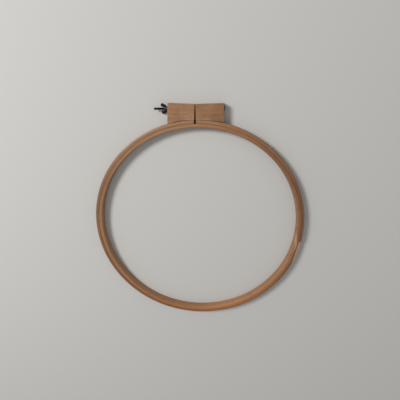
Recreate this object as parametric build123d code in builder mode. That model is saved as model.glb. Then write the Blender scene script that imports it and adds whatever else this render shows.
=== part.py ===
from build123d import *

import os
from math import cos, radians, sin, sqrt, tan

# A round wood embroidery hoop. The cloth is laid over an inner ring, and a split outer ring is drawn
# tight round it by two blocks, a carriage bolt and a wing nut.
# The hoop lies flat: its axis is Z, its front faces +Z, and the blocks stand on its +Y side with the
# bolt along X. The origin is the centre of the rings at half their depth.
# Lengths are in millimetres, angles in degrees.

# Rings, each a strip of bent wood
ring_depth = 17.5
inner_ring_diameter = 457.2
inner_ring_thickness = 7.8
outer_ring_thickness = 7.3
ring_clearance = 0.25
rim_chamfer = 1.3
rim_softening = 0.47
mating_chamfer = 0.5

# Split in the outer ring, measured on its outside, and the two blocks that stand on its ends and
# reach a little past them into the split
split_width = 4.2
split_offset = -3.3
block_overhang = 0.35
left_block_lean = 3.0
right_block_lean = 1.2
left_block_length = 54.2
right_block_length = 56.6
block_height = 30.5
block_chamfer = 0.5
glue_line = 0.1

# Carriage bolt, and its hole through the blocks
bolt_diameter = 4.76
bolt_height = 22.2
bolt_projection = 28.8
bolt_tip_chamfer = 0.7
bolt_hole_diameter = 6.35
head_diameter = 11.4
head_height = 2.6
head_rim = 0.7
neck_width = 4.85
neck_depth = 2.6
neck_clearance = 0.05

# Flat washer, and the wing nut that turns on the bolt's thread
washer_diameter = 10.3
washer_bore = 5.2
washer_thickness = 1.0
seat_margin = 0.3
seat_depth = 0.25
thread_clearance = 0.05
hub_base_diameter = 8.8
hub_top_diameter = 7.2
hub_height = 5.6
hub_base_rim = 1.1
hub_chamfer = 0.4
wing_span = 24.0
wing_height = 13.3
wing_lobe_radius = 3.8
wing_thickness = 3.1
wing_chamfer = 0.5
wing_turn = 30.0
# Where the middles of a wing's under and upper edges lie, of half the span and of the height
wing_under_shares = (0.69, 0.24)
wing_upper_shares = (0.29, 0.68)
# How far round its lobe the under edge joins the wing
wing_lobe_start = -53.0
wing_lobe_sweep = 180.0

# Headless nails, driven outwards through the ring's ends into the blocks and set under the wood
nail_diameter = 1.8
nail_length = 20.0
nail_sink = 0.4
nail_point = 0.6
nail_clearance = 0.05
# Where the nails stand along each block, from the split
nail_place_shares = (0.24, 0.76)

cut_overrun = 5.0

inner_ring_outer_radius = inner_ring_diameter / 2
inner_ring_inner_radius = inner_ring_outer_radius - inner_ring_thickness
outer_ring_inner_radius = inner_ring_outer_radius + ring_clearance
outer_ring_outer_radius = outer_ring_inner_radius + outer_ring_thickness

LEFT, RIGHT = -1, 1
lean = {LEFT: radians(left_block_lean), RIGHT: radians(right_block_lean)}


def on_outer_ring(x):
    """The height over the hoop's centre of the outer ring's outside, x to the side of that centre."""
    return sqrt(outer_ring_outer_radius**2 - x**2)


def split_edge(side):
    """The side place of one ring end, measured on the outside of the ring."""
    return split_offset + side * split_width / 2


def block_edge(side):
    """The side place of one block's face over the split, measured on the outside of the ring."""
    return split_edge(side) - side * block_overhang


def block_plane(side):
    """A plane on the hoop's back face, leaning with one block: its Y runs up the block's inner end."""
    foot = (block_edge(side), on_outer_ring(block_edge(side)), -ring_depth / 2)
    return Plane(origin=foot, x_dir=(cos(lean[side]), side * sin(lean[side]), 0), z_dir=(0, 0, 1))


bolt_y = on_outer_ring(split_offset) + bolt_height


def block_end(side, length):
    """The side place of a block's outer end, at the height of the bolt."""
    foot = block_edge(side)
    up = (bolt_y - on_outer_ring(foot) - length * sin(lean[side])) / cos(lean[side])
    return foot + side * (length * cos(lean[side]) - up * sin(lean[side]))


# The head and the washer bed flat on seats cut square to the bolt, seat_depth deep where they are
# shallowest
head_seat_radius = head_diameter / 2 + seat_margin
washer_seat_radius = washer_diameter / 2 + seat_margin
head_seat_x = block_end(RIGHT, right_block_length) - head_seat_radius * tan(lean[RIGHT]) - seat_depth
washer_seat_x = block_end(LEFT, left_block_length) + washer_seat_radius * tan(lean[LEFT]) + seat_depth
nut_seat_x = washer_seat_x - washer_thickness
bolt_length = head_seat_x - washer_seat_x + bolt_projection


def bolt_plane(x):
    """A plane square to the bolt at a side place: its Z runs from the head towards the wing nut."""
    return Plane(origin=(x, bolt_y, 0), x_dir=(0, 1, 0), z_dir=(-1, 0, 0))


def ring_profile(inner_radius, thickness, rim_outwards):
    """A ring's section on the XZ plane. Only its rim's corners, away from the other ring, are softened."""
    with BuildSketch(Plane.XZ) as profile:
        with Locations((inner_radius + thickness / 2, 0)):
            Rectangle(thickness, ring_depth)
        chamfer(profile.vertices().sort_by(Axis.X, reverse=rim_outwards)[-2:], mating_chamfer)
        chamfer(profile.vertices().sort_by(Axis.X, reverse=rim_outwards)[:2], rim_chamfer)
        chamfer(profile.vertices().sort_by(Axis.X, reverse=rim_outwards)[:4], rim_softening)
    return profile.sketch


def nail_plane(side, length, share):
    """A plane at the hoop's centre, square to a nail that stands at a share of one block's length."""
    x = block_edge(side) + side * length * share
    return Plane(origin=(0, 0, 0), x_dir=(0, 0, 1), z_dir=(x, on_outer_ring(x), 0))


nail_planes = [
    nail_plane(side, length, share).offset(outer_ring_inner_radius + nail_sink)
    for side, length in ((LEFT, left_block_length), (RIGHT, right_block_length))
    for share in nail_place_shares
]


def block_blank(side, length):
    """A block with broken edges, long enough at the foot to be cut to the curve of the ring."""
    end_x = abs(block_edge(side)) + length
    foot = outer_ring_outer_radius - on_outer_ring(end_x) + length * sin(lean[side]) + cut_overrun
    with BuildPart(mode=Mode.PRIVATE) as blank:
        with BuildSketch(block_plane(side)):
            with Locations((side * length / 2, (block_height - foot) / 2)):
                Rectangle(length, block_height + foot)
        extrude(amount=ring_depth)
        underside = blank.faces().sort_by(Axis.Y)[0]
        chamfer(blank.edges() - underside.edges(), block_chamfer)
    return blank.part


# The holes that the nails fill, open to the inside of the ring
with BuildPart() as nail_holes:
    for plane in nail_planes:
        with BuildSketch(plane.offset(-nail_sink - cut_overrun)):
            Circle(nail_diameter / 2 + nail_clearance)
        extrude(amount=cut_overrun + nail_sink + nail_length + nail_clearance)

with BuildPart() as inner_ring:
    add(ring_profile(inner_ring_inner_radius, inner_ring_thickness, rim_outwards=False))
    revolve(axis=Axis.Z)

with BuildPart() as outer_ring:
    add(ring_profile(outer_ring_inner_radius, outer_ring_thickness, rim_outwards=True))
    revolve(axis=Axis.Z)
    # The split's two faces lean as the blocks over them do
    with BuildSketch(Plane.XY.offset(-ring_depth / 2 - cut_overrun)):
        with BuildLine():
            below = outer_ring_thickness + cut_overrun
            split_corners = [
                (
                    split_edge(side) - side * up * sin(lean[side]),
                    on_outer_ring(split_edge(side)) + up * cos(lean[side]),
                )
                for side, up in ((LEFT, cut_overrun), (LEFT, -below), (RIGHT, -below), (RIGHT, cut_overrun))
            ]
            Polyline(*split_corners, close=True)
        make_face()
    extrude(amount=ring_depth + 2 * cut_overrun, mode=Mode.SUBTRACT)
    add(nail_holes.part, mode=Mode.SUBTRACT)

with BuildPart() as left_block:
    add(block_blank(LEFT, left_block_length))
    Cylinder(outer_ring_outer_radius + glue_line, ring_depth + 2 * cut_overrun, mode=Mode.SUBTRACT)
    with BuildSketch(bolt_plane(split_offset)):
        Circle(bolt_hole_diameter / 2)
    extrude(amount=left_block_length + cut_overrun, both=True, mode=Mode.SUBTRACT)
    with BuildSketch(bolt_plane(washer_seat_x)):
        Circle(washer_seat_radius)
    extrude(amount=cut_overrun, mode=Mode.SUBTRACT)
    add(nail_holes.part, mode=Mode.SUBTRACT)

with BuildPart() as right_block:
    add(block_blank(RIGHT, right_block_length))
    Cylinder(outer_ring_outer_radius + glue_line, ring_depth + 2 * cut_overrun, mode=Mode.SUBTRACT)
    with BuildSketch(bolt_plane(split_offset)):
        Circle(bolt_hole_diameter / 2)
    extrude(amount=right_block_length + cut_overrun, both=True, mode=Mode.SUBTRACT)
    with BuildSketch(bolt_plane(head_seat_x)):
        Circle(head_seat_radius)
    extrude(amount=-cut_overrun, mode=Mode.SUBTRACT)
    with BuildSketch(bolt_plane(head_seat_x)):
        Rectangle(neck_width + 2 * neck_clearance, neck_width + 2 * neck_clearance)
    extrude(amount=neck_depth + neck_clearance, mode=Mode.SUBTRACT)
    add(nail_holes.part, mode=Mode.SUBTRACT)

with BuildPart() as carriage_bolt:
    with BuildSketch(bolt_plane(head_seat_x)):
        Circle(bolt_diameter / 2)
    extrude(amount=bolt_length)
    chamfer(carriage_bolt.faces().sort_by(Axis.X)[0].edges(), bolt_tip_chamfer)
    with BuildSketch(bolt_plane(head_seat_x)):
        Rectangle(neck_width, neck_width)
    extrude(amount=neck_depth)
    # The domed head, turned about the bolt from half of its section
    with BuildSketch(Plane(origin=(head_seat_x, bolt_y, 0), x_dir=(0, 1, 0), z_dir=(0, 0, -1))):
        with BuildLine():
            Polyline((0, head_height), (0, 0), (head_diameter / 2, 0), (head_diameter / 2, head_rim))
            TangentArc((0, head_height), (head_diameter / 2, head_rim), tangent=(1, 0))
        make_face()
    revolve(axis=Axis((head_seat_x, bolt_y, 0), (1, 0, 0)))

with BuildPart() as flat_washer:
    with BuildSketch(bolt_plane(washer_seat_x)):
        Circle(washer_diameter / 2)
        Circle(washer_bore / 2, mode=Mode.SUBTRACT)
    extrude(amount=washer_thickness)

# The wings stand in a plane through the bolt, turned out of the hoop's own plane
wing_across = (0, cos(radians(wing_turn)), sin(radians(wing_turn)))
wing_normal = (0, -sin(radians(wing_turn)), cos(radians(wing_turn)))
wing_plane = Plane(origin=(nut_seat_x, bolt_y, 0), x_dir=wing_across, z_dir=wing_normal)

with BuildPart() as wing_nut:
    with BuildSketch(wing_plane):
        with BuildLine():
            lobe_centre = (wing_span / 2 - wing_lobe_radius, wing_height - wing_lobe_radius)
            lobe = CenterArc(lobe_centre, wing_lobe_radius, wing_lobe_start, wing_lobe_sweep)
            foot_under = (0, hub_base_rim)
            foot_upper = (0, hub_height - hub_chamfer)
            middle_under = (wing_span / 2 * wing_under_shares[0], wing_height * wing_under_shares[1])
            middle_upper = (wing_span / 2 * wing_upper_shares[0], wing_height * wing_upper_shares[1])
            Spline(foot_under, middle_under, lobe @ 0, tangents=((1, 0), lobe % 0))
            Spline(lobe @ 1, middle_upper, foot_upper, tangents=(lobe % 1, (-1, 0)))
            Line(foot_upper, foot_under)
        make_face()
        mirror(about=Plane.YZ)
    extrude(amount=wing_thickness / 2, both=True)
    chamfer(wing_nut.edges().group_by(Axis(wing_plane.origin, wing_plane.z_dir))[0], wing_chamfer)
    chamfer(wing_nut.edges().group_by(Axis(wing_plane.origin, wing_plane.z_dir))[-1], wing_chamfer)
    # The tapering hub between the wings
    with BuildSketch(wing_plane):
        with BuildLine():
            Polyline(
                (0, hub_height),
                (0, 0),
                (hub_base_diameter / 2, 0),
                (hub_base_diameter / 2, hub_base_rim),
                (hub_top_diameter / 2, hub_height),
                close=True,
            )
        hub = make_face()
        chamfer(hub.vertices().group_by(Axis.Y)[0].sort_by(Axis.X)[-1], hub_chamfer)
        chamfer(hub.vertices().group_by(Axis.Y)[-1].sort_by(Axis.X)[-1], hub_chamfer)
    revolve(axis=Axis(wing_plane.origin, (-1, 0, 0)))
    with BuildSketch(bolt_plane(nut_seat_x + cut_overrun)):
        Circle(bolt_diameter / 2 + thread_clearance)
    extrude(amount=2 * cut_overrun + wing_height, mode=Mode.SUBTRACT)

with BuildPart() as block_nails:
    for plane in nail_planes:
        with BuildSketch(plane):
            Circle(nail_diameter / 2)
        extrude(amount=nail_length)
        chamfer(block_nails.edges(Select.LAST).sort_by(Axis(plane.origin, plane.z_dir))[-1], nail_point)

os.makedirs("parts", exist_ok=True)
nodes = {
    "inner_ring": inner_ring,
    "outer_ring": outer_ring,
    "left_block": left_block,
    "right_block": right_block,
    "carriage_bolt": carriage_bolt,
    "flat_washer": flat_washer,
    "wing_nut": wing_nut,
    "block_nails": block_nails,
}
for name, piece in nodes.items():
    piece.part.label = name
    export_step(piece.part, f"parts/{name}.step")

print(f"bolt under its head {bolt_length:.1f}, thread past the left block {bolt_projection:.1f}")
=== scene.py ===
"""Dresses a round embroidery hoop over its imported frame.

The wood gets rounded rims, grain and wear, and the black hardware its thread, its domed head and the cast form of
the wing nut. Sizes are in millimetres, and become metres when a mesh is made. The hoop's axis is Z with its front
upwards, its centre is the origin, the blocks stand on the +Y side and the bolt runs along X.
"""

import logging
from dataclasses import dataclass, field
from enum import Enum
from functools import reduce
from math import asin, atan2, cos, pi, radians, sin, sqrt, tan
from typing import ClassVar

import bpy
import numpy as np
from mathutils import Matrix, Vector

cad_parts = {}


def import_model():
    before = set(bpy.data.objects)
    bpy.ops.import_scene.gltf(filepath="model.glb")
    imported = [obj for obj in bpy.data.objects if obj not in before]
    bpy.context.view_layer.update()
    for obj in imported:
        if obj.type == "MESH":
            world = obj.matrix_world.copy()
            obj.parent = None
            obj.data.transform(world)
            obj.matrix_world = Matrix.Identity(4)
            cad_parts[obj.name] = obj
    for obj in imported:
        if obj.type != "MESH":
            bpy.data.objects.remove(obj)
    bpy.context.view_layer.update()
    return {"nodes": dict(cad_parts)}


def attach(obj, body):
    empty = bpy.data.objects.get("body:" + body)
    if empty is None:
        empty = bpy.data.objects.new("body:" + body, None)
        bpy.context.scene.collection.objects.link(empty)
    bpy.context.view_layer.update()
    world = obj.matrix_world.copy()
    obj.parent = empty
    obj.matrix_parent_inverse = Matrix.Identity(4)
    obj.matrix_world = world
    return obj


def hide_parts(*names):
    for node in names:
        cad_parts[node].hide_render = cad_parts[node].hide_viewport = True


Array = np.ndarray
Pair = tuple[float, float]
Colour = tuple[float, float, float]
Socket = bpy.types.NodeSocket
Tree = bpy.types.NodeTree
Material = bpy.types.Material
Mesh = bpy.types.Mesh

MM = 0.001
TURN = 2 * pi
EASE_STEPS = 4
WEAR_PASSES = 3
GRAIN = "grain_place"

# Lumps of noise to a millimetre of wood: along the grain, away from the pith and round it.
STREAK_SCALE = (0.006, 0.45, 0.05)
FIBRE_SCALE = (0.045, 3.1, 2.6)
FLECK_SCALE = (0.34, 2.0, 1.5)
# How high its noise has to be for a fleck at a cover of 0, and how much finer the speckle is than the patches.
FLECK_LEVEL = 0.78
SPECKLE_SCALE = (14.0, 14.0, 14.0)

log = logging.getLogger("embroidery_hoop")


class Slot(Enum):
    """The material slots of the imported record."""

    INNER_WOOD = "inner_ring_wood"
    OUTER_WOOD = "outer_ring_wood"
    BLOCK_WOOD = "block_wood"
    BLACK = "black_hardware"


class Body(Enum):
    """The bodies that the pieces ride on."""

    OUTER = "outer_hoop"
    INNER = "inner_hoop"
    WASHER = "washer"
    NUT = "nut"


class Side(Enum):
    """The side of the split that a ring end or a block is on, as the sign of its X."""

    LEFT = -1
    RIGHT = 1


class Mask(Enum):
    """What each vertex of a piece says about its finish, as the name of a mesh attribute."""

    EDGE = "edge_wear"
    # Tone is the wood's uneven tone, with painted shade on the rings' right side and in the blocks' bolt holes, and
    # painted light on the inner ring's left walls.
    TONE = "tone"
    RAW = "raw_wood"
    # The joint line marks real joints and knots, and also paints shadow in the blocks' open joints and bolt holes and
    # in the outer ring's bite.
    JOINT = "joint_line"
    # The warm tint is partly painted shade in the crease between the rings.
    WARM = "warm_wood"


def smooth_step(value: Array | float, low: float, high: float) -> Array:
    """Goes from 0 at low to 1 at high, which may lie below it, along the cubic 3t² - 2t³."""
    t = np.clip((np.asarray(value, float) - low) / (high - low), 0, 1)
    return t * t * (3 - 2 * t)


def bump(value: Array, middle: float, reach: float) -> Array:
    """A smooth hill, 1 at its middle and 0 from reach on either side of it."""
    return smooth_step(np.abs(np.asarray(value, float) - middle), reach, 0)


def eased(distance: Array, radius: float) -> Array:
    """How far a rounded edge lies inside the sharp one, at a distance d from it: r - √(r² - (r - d)²)."""
    short = radius - np.clip(distance, 0, radius)
    return radius - np.sqrt(np.maximum(radius**2 - short**2, 0))


def ease_stations(radius: float) -> Array:
    """Stations across a rounded edge, evenly spread over its quarter turn: radius times (1 - cos a)."""
    return radius * (1 - np.cos(np.linspace(0, pi / 2, EASE_STEPS + 1)))


def side_shares(length: float, spacing: float, support: float = 0.2) -> Array:
    """Shares of a flat side's length, evenly spread between two supports that keep its shading flat."""
    count = max(2, round((length - 2 * support) / spacing) + 1)
    return np.linspace(support, length - support, count) / length


def both_ways(values: tuple[float, ...], whole: float) -> Array:
    """Places measured from the start and from the end of a whole."""
    return np.concatenate([values, whole - np.array(values)])


def spaced(stations: Array, least: float) -> Array:
    """The stations in order, without those that lie too close before the next."""
    stations = np.unique(stations.round(3))
    return stations[np.append(np.diff(stations) > least, True)]


def full_turn(count: int) -> Array:
    """Angles evenly spread round a full turn."""
    return np.linspace(0, TURN, count, endpoint=False)


def reach_of_line(start: Array, direction: Array, radius: Array | float) -> Array:
    """How far along a line it leaves a circle about the origin: -s·d + √((s·d)² - |s|² + radius²)."""
    along = start @ direction
    return -along + np.sqrt(along**2 - (start**2).sum(-1) + np.asarray(radius, float) ** 2)


def square_radius(half: float, turn: Array) -> Array:
    """The radius of a square about its middle, at each angle."""
    return half / np.maximum(np.abs(np.cos(turn)), np.abs(np.sin(turn)))


def unevenness(angle: Array, across: Array, orders: tuple[int, ...], seed: int) -> Array:
    """Slow waves round a ring between 0 and 1: the mean of sines of whole orders, each leaning with the section.

    Args:
        angle: the angle round the ring.
        across: a place across the section, as a share of the way round it.
        orders: how many waves each sine has in a full turn.
        seed: the seed of the phases.

    Returns:
        The height of the waves at each point.
    """
    draw = np.random.default_rng(seed)
    phases = draw.uniform(0, TURN, len(orders))
    leans = draw.integers(-2, 3, len(orders))
    terms = zip(orders, phases, leans, strict=True)
    waves = [np.sin(order * angle + phase + TURN * lean * across) for order, phase, lean in terms]
    return 0.5 + 0.5 * sum(waves) / len(orders)


@dataclass(frozen=True)
class Stretch:
    """A stretch of the way round whose wood differs, by how much, and what share of that its face and its walls get.

    Some stretches are the wood's own tone and some are painted shade or light as it falls round the hoop. The middle
    and the reach on either side of it are in degrees.
    """

    middle: float
    reach: float
    amount: float
    face: float = 1.0
    walls: float = 1.0

    def at(self, angle: Array, face: Array | float) -> Array:
        """How much the colour differs at each angle, as tone or as painted light or shade, where face is 1 on the
        ring's face and 0 on its walls.
        """
        rise = bump((angle - radians(self.middle) + pi) % TURN - pi, 0, radians(self.reach))
        return self.amount * rise * (self.walls + (self.face - self.walls) * face)


@dataclass(frozen=True)
class Outline:
    """A closed outline in a plane, with how much each of its points lies on a rounded corner."""

    points: Array
    edge: Array

    @property
    def around(self) -> Array:
        """How far round the outline each point is, counted evenly from 0 to 1."""
        return np.arange(len(self.edge)) / len(self.edge)


def rounded_outline(low: Pair, high: Pair, radii: tuple[float, ...], sides: tuple[Array, ...]) -> Outline:
    """A rectangle with quarter-round corners, anticlockwise from its lower left corner.

    A corner's points are its centre plus the radius times (cos a, sin a) over a quarter turn, and a side's points
    lie on the straight line to the next corner.

    Args:
        low: the lower left corner.
        high: the upper right corner.
        radii: the rounding of the lower left, lower right, upper right and upper left corner.
        sides: the shares at which the lower, right, upper and left side have points.

    Returns:
        The outline.
    """
    (x0, y0), (x1, y1) = low, high
    corners = ((x0, y0, 1, 1), (x1, y0, -1, 1), (x1, y1, -1, -1), (x0, y1, 1, -1))
    quarter = np.linspace(0, pi / 2, 6)
    arcs = []
    for number, ((x, y, right, up), radius) in enumerate(zip(corners, radii, strict=True)):
        angle = quarter + pi + number * pi / 2
        middle = np.array([x + right * radius, y + up * radius])
        arcs.append(middle + radius * np.stack([np.cos(angle), np.sin(angle)], 1))
    points, edge = [], []
    for number, (arc, shares) in enumerate(zip(arcs, sides, strict=True)):
        onward = arcs[(number + 1) % 4][0] - arc[-1]
        points += [arc, arc[-1] + shares[:, None] * onward]
        edge += [np.sin(2 * quarter), np.zeros(len(shares))]
    return Outline(np.concatenate(points), np.concatenate(edge))


def set_mask(mesh: Mesh, mask: Mask, values: Array) -> None:
    """Writes one mask, a number from 0 to 1 for each vertex, to a mesh."""
    attribute = mesh.attributes.new(mask.value, "FLOAT", "POINT")
    attribute.data.foreach_set("value", values.astype(np.float32))


@dataclass
class Skin:
    """A grid of points that becomes one closed mesh.

    The columns always close on themselves. The rows close on themselves too, or end in a pole at the mean of the
    first and of the last row.

    Attributes:
        points: rows by columns by 3, in millimetres.
        grain: the place of each point in the wood, along, across and up, where it isn't the point itself.
        masks: rows by columns, for each mask that the piece has.
        rows_close: whether the last row joins the first.
        grain_round: how far the grain runs on, once round closed rows.
    """

    points: Array
    grain: Array | None = None
    masks: dict[Mask, Array] = field(default_factory=dict)
    rows_close: bool = False
    grain_round: float = 0.0

    def _padded(self, grid: Array) -> Array:
        """The grid with its first column again after the last, and its first row too where the rows close."""
        grid = np.concatenate([grid, grid[:, :1]], 1)
        return np.concatenate([grid, grid[:1]]) if self.rows_close else grid

    @staticmethod
    def _faces(grid: Array, poles: tuple[Array, ...] | None) -> list[Array]:
        """Four corners of each cell of a padded grid, and three of each cell at the poles.

        Args:
            grid: a value for each point, padded.
            poles: the value of the first and of the last pole, or None.

        Returns:
            An array of the cells' corners, and where there are poles one of the triangles' corners.
        """
        cells = np.stack([grid[:-1, :-1], grid[:-1, 1:], grid[1:, 1:], grid[1:, :-1]], 2)
        faces = [cells.reshape(-1, 4, *grid.shape[2:])]
        if poles is not None:
            first, last = (np.broadcast_to(pole, grid[0, 1:].shape) for pole in poles)
            start = np.stack([first, grid[0, 1:], grid[0, :-1]], 1)
            end = np.stack([last, grid[-1, :-1], grid[-1, 1:]], 1)
            faces.append(np.concatenate([start, end]))
        return faces

    def mesh(self, name: str) -> Mesh:
        """Makes the closed mesh with its faces outwards, its grain at each corner and its masks at each vertex.

        Args:
            name: the mesh's name.

        Returns:
            The mesh, in metres.
        """
        rows, columns = self.points.shape[:2]
        count = rows * columns
        flat = self.points.reshape(-1, 3)
        numbers = self._padded(np.arange(count).reshape(rows, columns))
        wood = self.points if self.grain is None else self.grain
        grain = self._padded(wood)
        poles = grain_poles = None
        if self.rows_close:
            grain[-1, :, 0] += self.grain_round
        else:
            flat = np.concatenate([flat, self.points[[0, -1]].mean(1)])
            poles = (np.array(count), np.array(count + 1))
            grain_poles = tuple(wood[[0, -1]].mean(1))
        faces, places = self._faces(numbers, poles), self._faces(grain, grain_poles)
        corners = [flat[part] - flat.mean(0) for part in faces]
        volume = sum(
            np.einsum("ij,ij->", part[:, 0], np.cross(part[:, step], part[:, step + 1]))
            for part in corners
            for step in range(1, part.shape[1] - 1)
        )
        if volume < 0:
            faces, places = ([part[:, ::-1] for part in parts] for parts in (faces, places))

        sizes = np.concatenate([np.full(len(part), part.shape[1]) for part in faces])
        mesh = bpy.data.meshes.new(name)
        mesh.vertices.add(len(flat))
        mesh.vertices.foreach_set("co", (flat * MM).astype(np.float32).ravel())
        mesh.loops.add(int(sizes.sum()))
        mesh.loops.foreach_set("vertex_index", np.concatenate([part.ravel() for part in faces]))
        mesh.polygons.add(len(sizes))
        mesh.polygons.foreach_set("loop_start", np.cumsum(sizes) - sizes)
        mesh.update(calc_edges=True)
        mesh.shade_smooth()
        place = mesh.attributes.new(GRAIN, "FLOAT_VECTOR", "CORNER")
        place.data.foreach_set("vector", np.concatenate([part.ravel() for part in places]).astype(np.float32))
        for mask, values in self.masks.items():
            whole = values.ravel() if self.rows_close else np.append(values, values[[0, -1]].mean(1))
            set_mask(mesh, mask, whole)
        return mesh


@dataclass(frozen=True)
class HoopSizes:
    """The sizes that the pieces share, and the places that follow from them."""

    depth: float = 17.5
    inner_low: float = 220.8
    inner_high: float = 228.6
    outer_low: float = 228.85
    outer_high: float = 236.15
    split_width: float = 4.2
    split_offset: float = -3.3
    block_overhang: float = 0.35
    left_lean: float = radians(3.0)
    right_lean: float = radians(1.2)
    left_length: float = 54.2
    right_length: float = 56.6
    block_height: float = 30.5
    glue_line: float = 0.1
    bolt_height: float = 22.2
    bolt_radius: float = 2.38
    bolt_hole_radius: float = 3.175
    bolt_projection: float = 28.8
    head_radius: float = 5.7
    washer_radius: float = 5.15
    washer_thickness: float = 1.0
    seat_margin: float = 0.3
    seat_depth: float = 0.25
    nail_radius: float = 0.9
    nail_shares: Pair = (0.24, 0.76)

    def on_outer_ring(self, x: float) -> float:
        """The height over the centre of the outer ring's outside, x to the side."""
        return sqrt(self.outer_high**2 - x**2)

    def split_edge(self, side: Side) -> float:
        """The side place of one ring end, on the ring's outside."""
        return self.split_offset + side.value * self.split_width / 2

    def lean(self, side: Side) -> float:
        """How far one block leans over the split."""
        return self.left_lean if side is Side.LEFT else self.right_lean

    def foot(self, side: Side) -> Array:
        """The point where a block's split face meets the ring's outside."""
        x = self.split_edge(side) - side.value * self.block_overhang
        return np.array([x, self.on_outer_ring(x)])

    def along(self, side: Side) -> Array:
        """The direction of a block's length, away from the split."""
        return np.array([side.value * cos(self.lean(side)), sin(self.lean(side))])

    def upward(self, side: Side) -> Array:
        """The direction up a block's split face, and up the ring end beside it."""
        return np.array([-side.value * sin(self.lean(side)), cos(self.lean(side))])

    def block_length(self, side: Side) -> float:
        """The length of one block."""
        return self.left_length if side is Side.LEFT else self.right_length

    @property
    def bolt_y(self) -> float:
        """The height of the bolt over the centre."""
        return self.on_outer_ring(self.split_offset) + self.bolt_height

    def round_bolt(self, x: Array | float, radius: Array | float, turn: Array) -> Array:
        """The points at given radii and angles about the bolt: (x, bolt + r cos t, r sin t)."""
        y = self.bolt_y + radius * np.cos(turn)
        return np.stack([x + 0 * y, y, radius * np.sin(turn) + 0 * y], -1)

    def seat_radius(self, side: Side) -> float:
        """The radius of the seat at the outer end of one block."""
        return (self.washer_radius if side is Side.LEFT else self.head_radius) + self.seat_margin

    def seat_x(self, side: Side) -> float:
        """The side place of the seat in a block's outer end, where the bolt's washer or head beds.

        Args:
            side: which block it is in.

        Returns:
            The X of the seat.
        """
        foot, lean, length = self.foot(side), self.lean(side), self.block_length(side)
        up = (self.bolt_y - foot[1] - length * sin(lean)) / cos(lean)
        end = foot[0] + side.value * (length * cos(lean) - up * sin(lean))
        return end - side.value * (self.seat_radius(side) * tan(lean) + self.seat_depth)

    def nail_angle(self, side: Side, share: float) -> float:
        """The angle round the hoop of a nail that stands at a share of one block's length."""
        x = self.foot(side)[0] + side.value * self.block_length(side) * share
        return atan2(self.on_outer_ring(x), x)


def as_rgba(colour: Socket | Colour) -> Socket | tuple[float, ...]:
    """A colour with its fourth part, or a socket as it is."""
    return colour if isinstance(colour, Socket) else (*colour, 1.0)


class NodeTree:
    """Adds nodes to one node tree and joins them."""

    def __init__(self, tree: Tree) -> None:
        """Starts on a tree."""
        self.tree = tree

    def add(self, kind: str, inputs: dict[str | int, object] | None = None, **settings: object) -> bpy.types.Node:
        """Adds one node.

        Args:
            kind: the node's type.
            inputs: what goes into its sockets, each a socket to join or a value to set.
            settings: the node's own settings.

        Returns:
            The node.
        """
        node = self.tree.nodes.new(kind)
        for name, value in settings.items():
            setattr(node, name, value)
        for name, value in (inputs or {}).items():
            if isinstance(value, Socket):
                self.tree.links.new(value, node.inputs[name])
            else:
                node.inputs[name].default_value = value
        return node

    def math(self, operation: str, first: object, second: object) -> Socket:
        """The result of a Math node."""
        return self.add("ShaderNodeMath", {0: first, 1: second}, operation=operation).outputs[0]

    def times(self, first: object, second: object) -> Socket:
        """One number times another."""
        return self.math("MULTIPLY", first, second)

    def total(self, *terms: object) -> Socket:
        """The sum of some numbers."""
        return reduce(lambda first, second: self.math("ADD", first, second), terms)

    def stretched(self, vector: Socket, factors: Colour) -> Socket:
        """The vector with each part multiplied by its own factor."""
        return self.add("ShaderNodeVectorMath", {0: vector, 1: factors}, operation="MULTIPLY").outputs[0]

    def scaled(self, vector: Socket, scale: Socket) -> Socket:
        """The vector times one number."""
        return self.add("ShaderNodeVectorMath", {0: vector, "Scale": scale}, operation="SCALE").outputs[0]

    def noise(self, vector: Socket, detail: float, twist: float = 0.0) -> Socket:
        """Smooth noise about a half, one lump to a unit, with finer layers and bent by its own noise."""
        inputs = {"Vector": vector, "Scale": 1.0, "Detail": detail, "Distortion": twist}
        return self.add("ShaderNodeTexNoise", inputs).outputs[0]

    def span(self, value: object, low: float, high: float, to_low: float = 0.0, to_high: float = 1.0) -> Socket:
        """A number brought smoothly from one span to another, and held at its ends."""
        inputs = {"Value": value, "From Min": low, "From Max": high, "To Min": to_low, "To Max": to_high}
        return self.add("ShaderNodeMapRange", inputs, interpolation_type="SMOOTHSTEP").outputs[0]

    def blend(self, share: object, first: Socket | Colour, second: Socket | Colour, kind: str = "MIX") -> Socket:
        """A share of the second colour mixed into the first, or laid over it in another way."""
        inputs = {0: share, 6: as_rgba(first), 7: as_rgba(second)}
        return self.add("ShaderNodeMix", inputs, data_type="RGBA", blend_type=kind).outputs[2]

    def mask(self, mask: Mask) -> Socket:
        """The socket of one of the piece's masks."""
        return self.add("ShaderNodeAttribute", attribute_name=mask.value).outputs["Fac"]

    def effect(self, group: Tree, inputs: dict[str, object]) -> bpy.types.NodeOutputs:
        """The outputs of a shared effect, given its inputs."""
        return self.add("ShaderNodeGroup", inputs, node_tree=group).outputs

    def relief(self, height: Socket, strength: float, distance: float) -> Socket:
        """The normal of a slight relief."""
        return self.add("ShaderNodeBump", {"Strength": strength, "Distance": distance, "Height": height}).outputs[0]

    def surface(self, inputs: dict[str, object]) -> None:
        """Ends a material with its shader."""
        shader = self.add("ShaderNodeBsdfPrincipled", inputs)
        self.add("ShaderNodeOutputMaterial", {"Surface": shader.outputs[0]})

    def give(self, results: dict[str, Socket]) -> Tree:
        """Ends a node group with its number outputs.

        Args:
            results: each output's name and the socket that it gives.

        Returns:
            The node group.
        """
        for label in results:
            self.tree.interface.new_socket(label, in_out="OUTPUT", socket_type="NodeSocketFloat")
        self.add("NodeGroupOutput", results)
        return self.tree


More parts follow.
